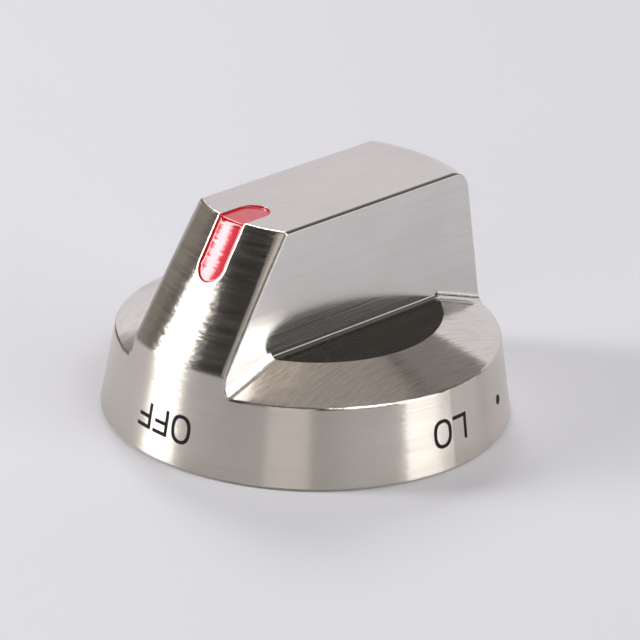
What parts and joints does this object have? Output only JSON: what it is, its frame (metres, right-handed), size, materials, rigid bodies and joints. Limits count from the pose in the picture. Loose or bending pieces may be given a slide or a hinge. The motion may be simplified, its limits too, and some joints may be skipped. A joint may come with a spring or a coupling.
{
  "type": "control knob",
  "caption": "Round cooker control knob with a flared skirt, a raised grip bar with a sloped nose and red pointer, and a moulded hub with a D-shaped shaft socket.",
  "frame": {"origin": "centre of the rim's underside, on the shaft axis", "axes": "+Z along the shaft axis from the rim towards the grip bar's top; the bar's nose and pointer face -Y"},
  "size_m": [0.0518, 0.0518, 0.029],
  "materials": {
    "brushed_metal": "fine brushed satin nickel on a zinc casting",
    "pointer_red": "translucent red lacquer over the brushed slot floor",
    "hub_plastic": "fine sparked moulding texture",
    "spring_steel": "rolled spring strip",
    "band_steel": "turned stainless band",
    "screw_steel": "bright zinc plate"
  },
  "bodies": {
    "root": {"knob_shell": "brushed_metal", "pointer_paint": "pointer_red", "hub_insert": "hub_plastic", "shaft_spring": "spring_steel", "stem_band": "band_steel", "hub_screws": "screw_steel"}
  },
  "joints": []
}
